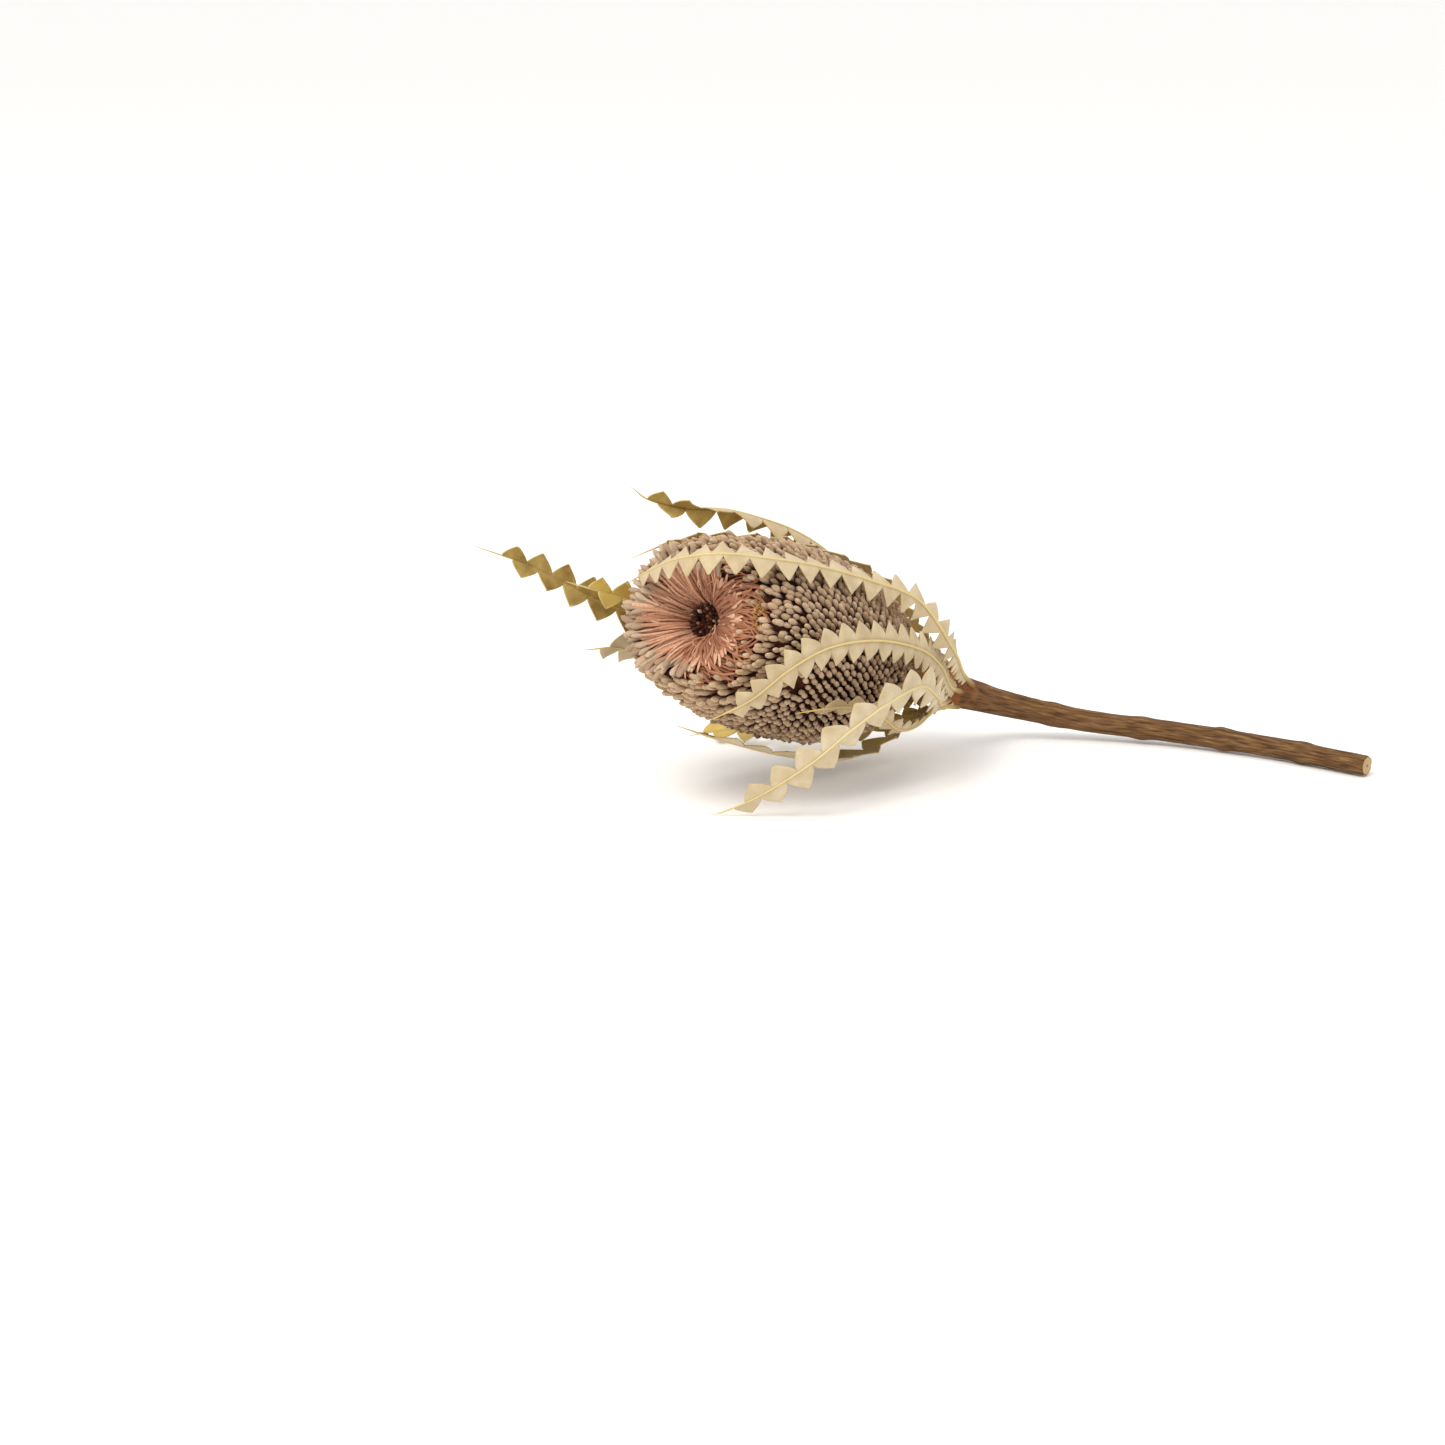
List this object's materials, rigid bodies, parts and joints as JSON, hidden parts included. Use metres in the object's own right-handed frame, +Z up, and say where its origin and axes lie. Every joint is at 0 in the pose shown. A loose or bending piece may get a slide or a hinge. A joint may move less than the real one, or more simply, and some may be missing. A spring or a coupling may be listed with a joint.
{
  "type": "dried banksia flower spike",
  "caption": "Dried banksia cone lying down: woolly florets in crossing spirals, dished pink tip, saw-edged leaves and a woody stem.",
  "frame": {"origin": "centre of the footprint at the level that the piece rests on", "axes": "+Z up; the stem's cut end lies toward +X, the spike points to -X and toward the front (-Y)"},
  "size_m": [0.3808, 0.1414, 0.1281],
  "materials": {
    "woolly_florets": "matt, woolly grey-beige tips over brown",
    "pink_tubes": "dry pinkish-brown, faint sheen",
    "dark_buds": "matt dark brown",
    "bract_scales": "matt orange-brown, hairy",
    "stem_wood": "matt bark",
    "leaf_felt": "matt cream felt outside, olive inside"
  },
  "bodies": {
    "root": {"flower_head": "woolly_florets", "pink_crown": "pink_tubes", "apex_buds": "dark_buds", "bract_collar": "bract_scales", "stem": "stem_wood", "leaf_top_front": "leaf_felt", "leaf_top_back": "leaf_felt", "leaf_curled_back": "leaf_felt", "leaf_across_front": "leaf_felt", "leaf_low_front": "leaf_felt", "leaf_small_front": "leaf_felt", "leaf_tip_low": "leaf_felt", "leaf_long_back": "leaf_felt", "leaf_short_back": "leaf_felt", "leaf_under": "leaf_felt", "leaf_prop_back": "leaf_felt"}
  },
  "joints": []
}
